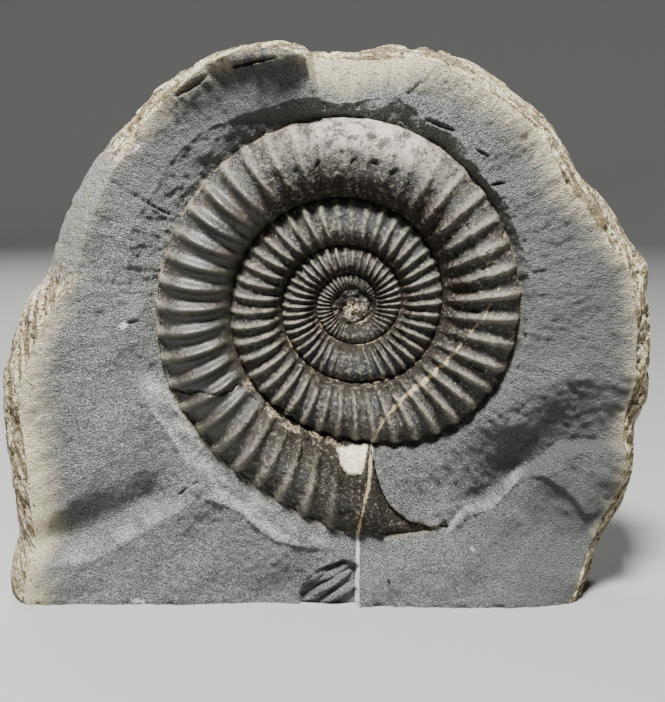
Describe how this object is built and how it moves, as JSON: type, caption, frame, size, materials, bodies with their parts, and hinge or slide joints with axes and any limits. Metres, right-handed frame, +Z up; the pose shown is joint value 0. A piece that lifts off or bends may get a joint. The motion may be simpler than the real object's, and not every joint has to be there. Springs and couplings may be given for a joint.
{
  "type": "ammonite fossil",
  "caption": "Half of a split grey limestone nodule, standing on a sawn flat base, with a ribbed coiled ammonite set in its broken front face.",
  "frame": {"origin": "middle of the footprint box, on the surface that the sawn base rests on", "axes": "+Z up, -Y the way the broken face with the ammonite looks, +X to the right as that face is seen"},
  "size_m": [0.137, 0.0349, 0.1145],
  "materials": {
    "matrix_stone": "rough broken limestone with a cream weathered rind",
    "ammonite": "dark brown-black fossil shell, satin on the ribs"
  },
  "bodies": {
    "root": {"matrix_stone": "matrix_stone", "ammonite": "ammonite"}
  },
  "joints": []
}
